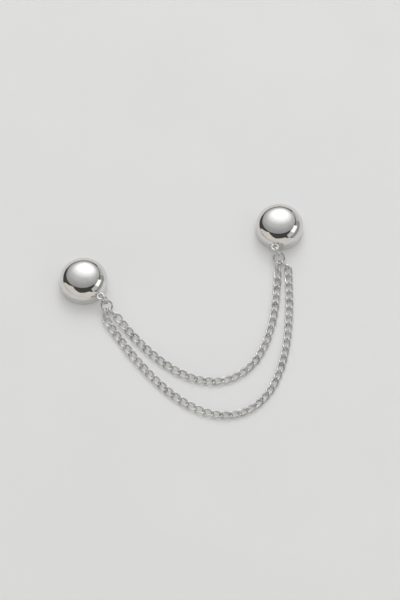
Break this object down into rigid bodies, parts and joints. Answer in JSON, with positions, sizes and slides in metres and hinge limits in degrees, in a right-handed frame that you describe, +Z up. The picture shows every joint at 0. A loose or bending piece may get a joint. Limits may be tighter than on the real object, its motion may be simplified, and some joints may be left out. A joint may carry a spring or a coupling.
{
  "type": "magnetic clothing clip",
  "caption": "Clip for clothing: domed silver magnetic buttons that hold cloth between their halves, joined by draped curb chains of different length.",
  "frame": {"origin": "middle of the left button's underside", "axes": "+Z up out of the domes, +X from the left button to the right one, the chains lie towards -Y"},
  "size_m": [0.064, 0.0536, 0.0062],
  "materials": {
    "polished_silver": "polished bright plating, mirror smooth with faint hairlines",
    "chain_silver": "bright plated wire, a little softer than the buttons",
    "magnet_nickel": "satin nickel plating"
  },
  "bodies": {
    "left_front": {"left_front_cap": "polished_silver", "left_front_magnet": "magnet_nickel"},
    "left_back": {"left_back_cup": "polished_silver", "left_back_magnet": "magnet_nickel"},
    "left_eye_ring": {"left_eye_ring": "chain_silver"},
    "left_chain_ring": {"left_chain_ring": "chain_silver"},
    "right_front": {"right_front_cap": "polished_silver", "right_front_magnet": "magnet_nickel"},
    "right_back": {"right_back_cup": "polished_silver", "right_back_magnet": "magnet_nickel"},
    "right_eye_ring": {"right_eye_ring": "chain_silver"},
    "right_chain_ring": {"right_chain_ring": "chain_silver"},
    "inner_01": {"inner_links_01": "chain_silver"},
    "inner_02": {"inner_links_02": "chain_silver"},
    "inner_03": {"inner_links_03": "chain_silver"},
    "inner_04": {"inner_links_04": "chain_silver"},
    "inner_05": {"inner_links_05": "chain_silver"},
    "inner_06": {"inner_links_06": "chain_silver"},
    "inner_07": {"inner_links_07": "chain_silver"},
    "inner_08": {"inner_links_08": "chain_silver"},
    "inner_09": {"inner_links_09": "chain_silver"},
    "inner_10": {"inner_links_10": "chain_silver"},
    "inner_11": {"inner_links_11": "chain_silver"},
    "outer_01": {"outer_links_01": "chain_silver"},
    "outer_02": {"outer_links_02": "chain_silver"},
    "outer_03": {"outer_links_03": "chain_silver"},
    "outer_04": {"outer_links_04": "chain_silver"},
    "outer_05": {"outer_links_05": "chain_silver"},
    "outer_06": {"outer_links_06": "chain_silver"},
    "outer_07": {"outer_links_07": "chain_silver"},
    "outer_08": {"outer_links_08": "chain_silver"},
    "outer_09": {"outer_links_09": "chain_silver"},
    "outer_10": {"outer_links_10": "chain_silver"},
    "outer_11": {"outer_links_11": "chain_silver"},
    "outer_12": {"outer_links_12": "chain_silver"},
    "outer_13": {"outer_links_13": "chain_silver"},
    "outer_14": {"outer_links_14": "chain_silver"}
  },
  "joints": [
    {"name": "left_back_slide", "type": "slide", "parent": "left_front", "child": "left_back", "axis": [-0.3907, 0.9205, 0], "range_m": [0, 0.013], "stiffness_N_per_m": 30},
    {"name": "left_eye_swivel", "type": "hinge", "parent": "left_front", "child": "left_eye_ring", "pos_m": [0.00262, -0.00617, 0.00315], "axis": [0, 0, 1], "range_deg": [-35, 35]},
    {"name": "chain_spread", "type": "hinge", "parent": "left_eye_ring", "child": "right_eye_ring", "pos_m": [0.0341, 0.01831, 0.00229], "axis": [0, 0, 1], "range_deg": [-20, 26]},
    {"name": "right_eye_swivel", "type": "hinge", "parent": "right_eye_ring", "child": "right_front", "pos_m": [0.04885, -0.00592, 0.00315], "axis": [0, 0, 1], "range_deg": [-25, 35]},
    {"name": "right_back_slide", "type": "slide", "parent": "right_front", "child": "right_back", "axis": [0.4695, 0.8829, 0], "range_m": [0, 0.013], "stiffness_N_per_m": 30},
    {"name": "left_ring_swivel", "type": "hinge", "parent": "left_eye_ring", "child": "left_chain_ring", "pos_m": [0.0035, -0.00771, 0.00229], "axis": [0, 0, 1], "range_deg": [-6.02, 7.82]},
    {"name": "right_ring_swivel", "type": "hinge", "parent": "right_eye_ring", "child": "right_chain_ring", "pos_m": [0.0491, -0.00767, 0.00229], "axis": [0, 0, 1], "range_deg": [-28.62, 22.02]},
    {"name": "inner_pivot_01", "type": "hinge", "parent": "left_chain_ring", "child": "inner_01", "pos_m": [0.00415, -0.00959, 0.0011], "axis": [0, 0, 1], "range_deg": [-11.24, 14.6]},
    {"name": "inner_pivot_02", "type": "hinge", "parent": "inner_01", "child": "inner_02", "pos_m": [0.00658, -0.01563, 0.00059], "axis": [0, 0, 1], "range_deg": [-5.9, 7.66]},
    {"name": "inner_pivot_03", "type": "hinge", "parent": "inner_02", "child": "inner_03", "pos_m": [0.00928, -0.02192, 0.00059], "axis": [0, 0, 1], "range_deg": [-1.02, 1.32]},
    {"name": "inner_pivot_04", "type": "hinge", "parent": "inner_03", "child": "inner_04", "pos_m": [0.01268, -0.02784, 0.00059], "axis": [0, 0, 1], "range_deg": [-8.23, 6.34]},
    {"name": "inner_pivot_05", "type": "hinge", "parent": "inner_04", "child": "inner_05", "pos_m": [0.01715, -0.033, 0.00059], "axis": [0, 0, 1], "range_deg": [-13.06, 10.05]},
    {"name": "inner_pivot_06", "type": "hinge", "parent": "inner_05", "child": "inner_06", "pos_m": [0.02303, -0.03638, 0.00059], "axis": [0, 0, 1], "range_deg": [-10.32, 7.94]},
    {"name": "inner_pivot_11", "type": "hinge", "parent": "right_chain_ring", "child": "inner_11", "pos_m": [0.04858, -0.00959, 0.0011], "axis": [0, 0, 1], "range_deg": [-4.12, 5.35]},
    {"name": "inner_pivot_10", "type": "hinge", "parent": "inner_11", "child": "inner_10", "pos_m": [0.04627, -0.0157, 0.00059], "axis": [0, 0, 1], "range_deg": [-1.32, 1.02]},
    {"name": "inner_pivot_09", "type": "hinge", "parent": "inner_10", "child": "inner_09", "pos_m": [0.04357, -0.02198, 0.00059], "axis": [0, 0, 1], "range_deg": [-1.36, 1.05]},
    {"name": "inner_pivot_08", "type": "hinge", "parent": "inner_09", "child": "inner_08", "pos_m": [0.04015, -0.0279, 0.00059], "axis": [0, 0, 1], "range_deg": [-1.94, 1.49]},
    {"name": "inner_pivot_07", "type": "hinge", "parent": "inner_08", "child": "inner_07", "pos_m": [0.03568, -0.03305, 0.00059], "axis": [0, 0, 1], "range_deg": [-1.36, 1.05]},
    {"name": "outer_pivot_01", "type": "hinge", "parent": "left_chain_ring", "child": "outer_01", "pos_m": [0.00299, -0.00963, 0.0011], "axis": [0, 0, 1], "range_deg": [-4.93, 6.4]},
    {"name": "outer_pivot_02", "type": "hinge", "parent": "outer_01", "child": "outer_02", "pos_m": [0.00342, -0.01584, 0.00059], "axis": [0, 0, 1], "range_deg": [-5.48, 7.11]},
    {"name": "outer_pivot_03", "type": "hinge", "parent": "outer_02", "child": "outer_03", "pos_m": [0.00546, -0.02237, 0.00059], "axis": [0, 0, 1], "range_deg": [-4.79, 6.22]},
    {"name": "outer_pivot_04", "type": "hinge", "parent": "outer_03", "child": "outer_04", "pos_m": [0.0079, -0.02876, 0.00059], "axis": [0, 0, 1], "range_deg": [-2.03, 2.63]},
    {"name": "outer_pivot_05", "type": "hinge", "parent": "outer_04", "child": "outer_05", "pos_m": [0.01092, -0.03489, 0.00059], "axis": [0, 0, 1], "range_deg": [-3.89, 3]},
    {"name": "outer_pivot_06", "type": "hinge", "parent": "outer_05", "child": "outer_06", "pos_m": [0.0148, -0.0405, 0.00059], "axis": [0, 0, 1], "range_deg": [-10.82, 8.33]},
    {"name": "outer_pivot_07", "type": "hinge", "parent": "outer_06", "child": "outer_07", "pos_m": [0.01997, -0.04494, 0.00059], "axis": [0, 0, 1], "range_deg": [-12.51, 9.62]},
    {"name": "outer_pivot_14", "type": "hinge", "parent": "right_chain_ring", "child": "outer_14", "pos_m": [0.04974, -0.00955, 0.0011], "axis": [0, 0, 1], "range_deg": [-11.89, 15.45]},
    {"name": "outer_pivot_13", "type": "hinge", "parent": "outer_14", "child": "outer_13", "pos_m": [0.04944, -0.01571, 0.00059], "axis": [0, 0, 1], "range_deg": [-3.32, 2.56]},
    {"name": "outer_pivot_12", "type": "hinge", "parent": "outer_13", "child": "outer_12", "pos_m": [0.04741, -0.02224, 0.00059], "axis": [0, 0, 1], "range_deg": [-3.46, 2.67]},
    {"name": "outer_pivot_11", "type": "hinge", "parent": "outer_12", "child": "outer_11", "pos_m": [0.04498, -0.02863, 0.00059], "axis": [0, 0, 1], "range_deg": [-3.87, 2.98]},
    {"name": "outer_pivot_10", "type": "hinge", "parent": "outer_11", "child": "outer_10", "pos_m": [0.04197, -0.03477, 0.00059], "axis": [0, 0, 1], "range_deg": [-4.24, 3.26]},
    {"name": "outer_pivot_09", "type": "hinge", "parent": "outer_10", "child": "outer_09", "pos_m": [0.03811, -0.0404, 0.00059], "axis": [0, 0, 1], "range_deg": [-3.33, 2.57]},
    {"name": "outer_pivot_08", "type": "hinge", "parent": "outer_09", "child": "outer_08", "pos_m": [0.03297, -0.04487, 0.00059], "axis": [0, 0, 1], "range_deg": [-1.02, 1.32]}
  ],
  "couplings": [
    {"joint": "left_ring_swivel", "follows": "chain_spread", "ratio": 0.3},
    {"joint": "right_ring_swivel", "follows": "chain_spread", "ratio": -1.1},
    {"joint": "inner_pivot_01", "follows": "chain_spread", "ratio": 0.5608},
    {"joint": "inner_pivot_02", "follows": "chain_spread", "ratio": 0.2938},
    {"joint": "inner_pivot_03", "follows": "chain_spread", "ratio": 0.0499},
    {"joint": "inner_pivot_04", "follows": "chain_spread", "ratio": -0.3158},
    {"joint": "inner_pivot_05", "follows": "chain_spread", "ratio": -0.5017},
    {"joint": "inner_pivot_06", "follows": "chain_spread", "ratio": -0.3962},
    {"joint": "inner_pivot_11", "follows": "chain_spread", "ratio": 0.2049},
    {"joint": "inner_pivot_10", "follows": "chain_spread", "ratio": -0.05},
    {"joint": "inner_pivot_09", "follows": "chain_spread", "ratio": -0.0516},
    {"joint": "inner_pivot_08", "follows": "chain_spread", "ratio": -0.0737},
    {"joint": "inner_pivot_07", "follows": "chain_spread", "ratio": -0.0515},
    {"joint": "outer_pivot_01", "follows": "chain_spread", "ratio": 0.2453},
    {"joint": "outer_pivot_02", "follows": "chain_spread", "ratio": 0.2728},
    {"joint": "outer_pivot_03", "follows": "chain_spread", "ratio": 0.2384},
    {"joint": "outer_pivot_04", "follows": "chain_spread", "ratio": 0.1005},
    {"joint": "outer_pivot_05", "follows": "chain_spread", "ratio": -0.149},
    {"joint": "outer_pivot_06", "follows": "chain_spread", "ratio": -0.4155},
    {"joint": "outer_pivot_07", "follows": "chain_spread", "ratio": -0.4802},
    {"joint": "outer_pivot_14", "follows": "chain_spread", "ratio": 0.5934},
    {"joint": "outer_pivot_13", "follows": "chain_spread", "ratio": -0.1268},
    {"joint": "outer_pivot_12", "follows": "chain_spread", "ratio": -0.1325},
    {"joint": "outer_pivot_11", "follows": "chain_spread", "ratio": -0.1481},
    {"joint": "outer_pivot_10", "follows": "chain_spread", "ratio": -0.1622},
    {"joint": "outer_pivot_09", "follows": "chain_spread", "ratio": -0.1273},
    {"joint": "outer_pivot_08", "follows": "chain_spread", "ratio": 0.0499}
  ]
}
